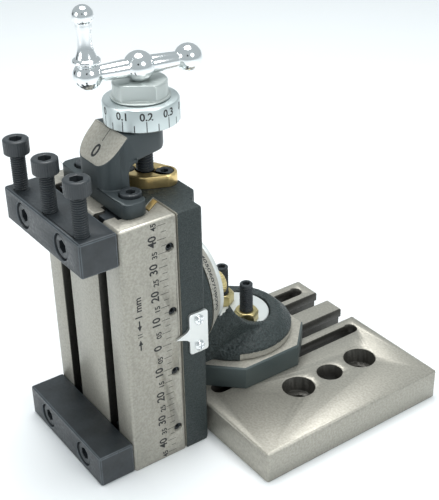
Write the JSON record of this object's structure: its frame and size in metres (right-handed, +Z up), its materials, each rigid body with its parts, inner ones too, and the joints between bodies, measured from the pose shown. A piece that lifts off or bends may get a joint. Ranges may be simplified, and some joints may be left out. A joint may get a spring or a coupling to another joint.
{
  "type": "vertical milling slide",
  "caption": "Small swivelling vertical milling slide for a lathe: T-slotted table with clamp bars, dovetail feed screw with dial and ball crank, knee on a slotted base plate.",
  "frame": {"origin": "on the underside of the base plate, on the axis of the vertical swivel", "axes": "+Z up along the feed screw, +Y from the work table back to the base plate, +X towards the drilled side of the plate and the table's scale face"},
  "size_m": [0.0835, 0.1265, 0.1555],
  "materials": {
    "casting_paint": "rough cast, dark green-grey hammered paint",
    "bracket_paint": "smooth dark paint over a casting, with one machined sloping face",
    "ground_iron": "ground iron, warm light grey, oiled",
    "black_oxide": "black oxide on milled steel",
    "black_screws": "black oxide on fasteners",
    "block_paint": "dark painted sides with a machined top",
    "brass": "turned brass",
    "gib_brass": "flat brass strip",
    "dial_satin": "satin turned, black graduations",
    "collar_steel": "satin turned steel",
    "polished_chrome": "polished plating",
    "zinc_yellow": "yellow zinc plating",
    "disc_white": "bright zinc plating",
    "pointer_steel": "bright sheet steel",
    "screw_steel": "bright steel"
  },
  "bodies": {
    "base": {"base_plate": "ground_iron"},
    "block": {"base_block": "block_paint", "base_t_nuts": "black_oxide", "swivel_studs": "black_screws", "swivel_nuts": "zinc_yellow", "swivel_disc": "disc_white"},
    "knee": {"knee_casting": "casting_paint"},
    "saddle": {"saddle_casting": "casting_paint", "tilt_disc": "zinc_yellow", "tilt_bolts": "black_screws", "feed_nut": "brass", "feed_nut_screws": "black_screws", "pointer_plate": "pointer_steel", "pointer_screws": "screw_steel"},
    "table": {"work_table": "ground_iron", "gib_strip": "gib_brass", "gib_screws": "black_screws", "feed_bracket": "bracket_paint", "bracket_screws": "black_screws"},
    "spindle": {"feed_screw": "black_oxide", "spindle_collar": "collar_steel", "crank_arm": "polished_chrome", "grip_pin": "screw_steel"},
    "dial": {"feed_dial": "dial_satin"},
    "grip": {"crank_grip": "polished_chrome"},
    "upper_bar": {"top_bar": "black_oxide", "top_bar_bolts": "black_screws", "top_bar_t_nuts": "black_oxide"},
    "lower_bar": {"bottom_bar": "black_oxide", "bottom_bar_bolts": "black_screws", "bottom_bar_t_nuts": "black_oxide"},
    "clamp_left": {"clamp_screw_left": "black_screws"},
    "clamp_middle": {"clamp_screw_middle": "black_screws"},
    "clamp_right": {"clamp_screw_right": "black_screws"}
  },
  "joints": [
    {"name": "block_slide", "type": "slide", "parent": "base", "child": "block", "axis": [0, 1, 0], "range_m": [-0.009, 0.0015]},
    {"name": "knee_swivel", "type": "hinge", "parent": "block", "child": "knee", "pos_m": [0, 0, 0.021], "axis": [0, 0, 1], "range_deg": [-3.5, 3.5]},
    {"name": "saddle_tilt", "type": "hinge", "parent": "knee", "child": "saddle", "pos_m": [0, -0.0245, 0.05], "axis": [0, 1, 0], "range_deg": [-90, 90]},
    {"name": "table_feed", "type": "slide", "parent": "saddle", "child": "table", "axis": [0, 0, 1], "range_m": [-0.006, 0.045]},
    {"name": "feed_screw_spin", "type": "hinge", "parent": "table", "child": "spindle", "pos_m": [0, -0.0356, 0.116], "axis": [0, 0, 1], "range_deg": [-2161, 16201]},
    {"name": "dial_zero", "type": "hinge", "parent": "spindle", "child": "dial", "pos_m": [0, -0.0356, 0.12], "axis": [0, 0, 1], "continuous": true},
    {"name": "grip_spin", "type": "hinge", "parent": "spindle", "child": "grip", "pos_m": [-0.00243, -0.05243, 0.148], "axis": [0, 0, 1], "continuous": true},
    {"name": "upper_bar_slide", "type": "slide", "parent": "table", "child": "upper_bar", "axis": [0, 0, 1], "range_m": [-0.025, 0]},
    {"name": "lower_bar_slide", "type": "slide", "parent": "table", "child": "lower_bar", "axis": [0, 0, 1], "range_m": [0, 0.025]},
    {"name": "clamp_left_feed", "type": "slide", "parent": "upper_bar", "child": "clamp_left", "axis": [0, 0, 1], "range_m": [-0.0126, 0.004]},
    {"name": "clamp_middle_feed", "type": "slide", "parent": "upper_bar", "child": "clamp_middle", "axis": [0, 0, 1], "range_m": [-0.0126, 0.004]},
    {"name": "clamp_right_feed", "type": "slide", "parent": "upper_bar", "child": "clamp_right", "axis": [0, 0, 1], "range_m": [-0.0126, 0.004]}
  ],
  "couplings": [
    {"joint": "feed_screw_spin", "follows": "table_feed", "rad_per_m": 6283.2}
  ]
}
